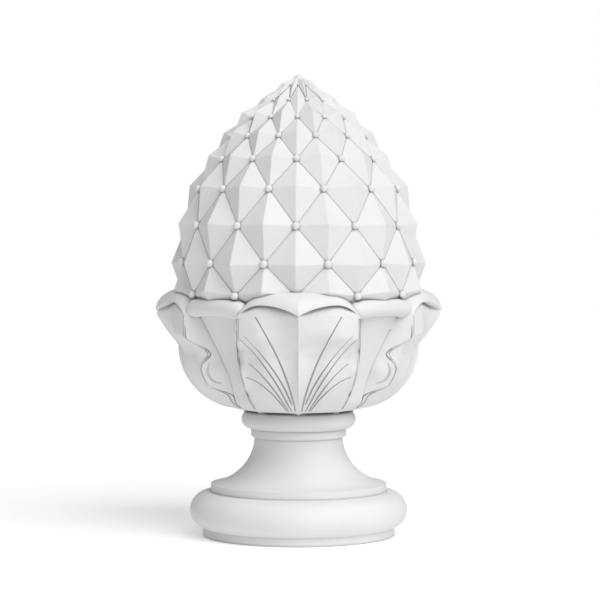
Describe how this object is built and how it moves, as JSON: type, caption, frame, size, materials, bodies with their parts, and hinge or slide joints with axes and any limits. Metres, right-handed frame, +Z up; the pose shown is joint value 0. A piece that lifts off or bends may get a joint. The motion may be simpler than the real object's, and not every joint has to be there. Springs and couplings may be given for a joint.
{
  "type": "pineapple finial",
  "caption": "White moulded pineapple finial: a fruit quilted in beaded pyramids, in a cup of broad leaves on a turned foot, for a pier, post or roof.",
  "frame": {"origin": "centre of the underside of the plinth disc", "axes": "+Z up towards the tip, -Y towards the front leaf"},
  "size_m": [0.3632, 0.3632, 0.5842],
  "materials": {
    "primed_urethane": "smooth white primer, matt, on high density urethane foam"
  },
  "bodies": {
    "root": {"pineapple_finial": "primed_urethane"}
  },
  "joints": []
}
